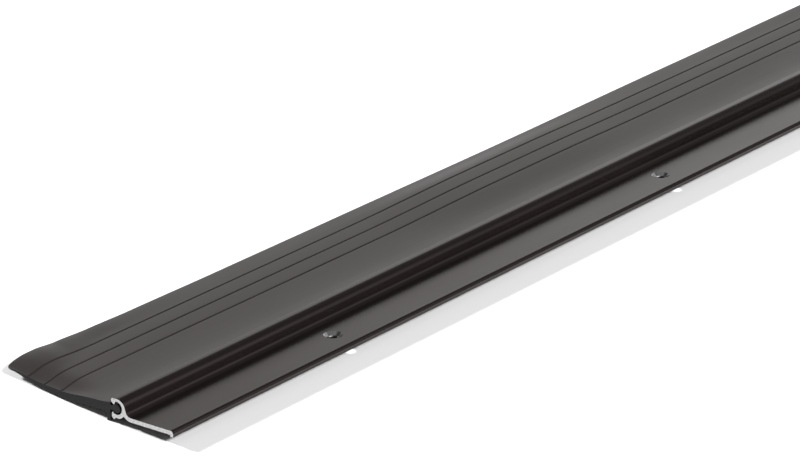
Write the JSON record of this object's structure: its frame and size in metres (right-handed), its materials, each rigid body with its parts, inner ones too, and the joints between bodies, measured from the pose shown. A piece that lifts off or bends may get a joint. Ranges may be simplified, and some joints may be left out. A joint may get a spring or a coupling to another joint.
{
  "type": "door sweep",
  "caption": "Straight door bottom sweep: a screw-on aluminium carrier rail whose open C-shaped socket holds a slide-in flexible rubber blade that wipes the floor.",
  "frame": {"origin": "centre of the footprint, at the foot of the rubber leg, the lowest point of the sweep", "axes": "+X along the sweep, +Y from the screw flange towards the blade's free edge, +Z out of the front face, away from the door"},
  "size_m": [1, 0.0728, 0.0086],
  "materials": {
    "bronze_anodised_aluminium": "dark bronze satin anodised, bare metal where sawn and drilled",
    "black_rubber": "matt extruded black rubber"
  },
  "bodies": {
    "rail": {"carrier_rail": "bronze_anodised_aluminium"},
    "insert": {"rubber_anchor_bead": "black_rubber"},
    "blade": {"rubber_blade": "black_rubber"}
  },
  "joints": [
    {"name": "insert_slide", "type": "slide", "parent": "rail", "child": "insert", "axis": [1, 0, 0], "range_m": [-0.9, 0.9]},
    {"name": "blade_flex", "type": "hinge", "parent": "insert", "child": "blade", "pos_m": [0, -0.00618, 0.00475], "axis": [1, 0, 0], "range_deg": [-60, 60], "stiffness_Nm_per_rad": 0.45}
  ]
}
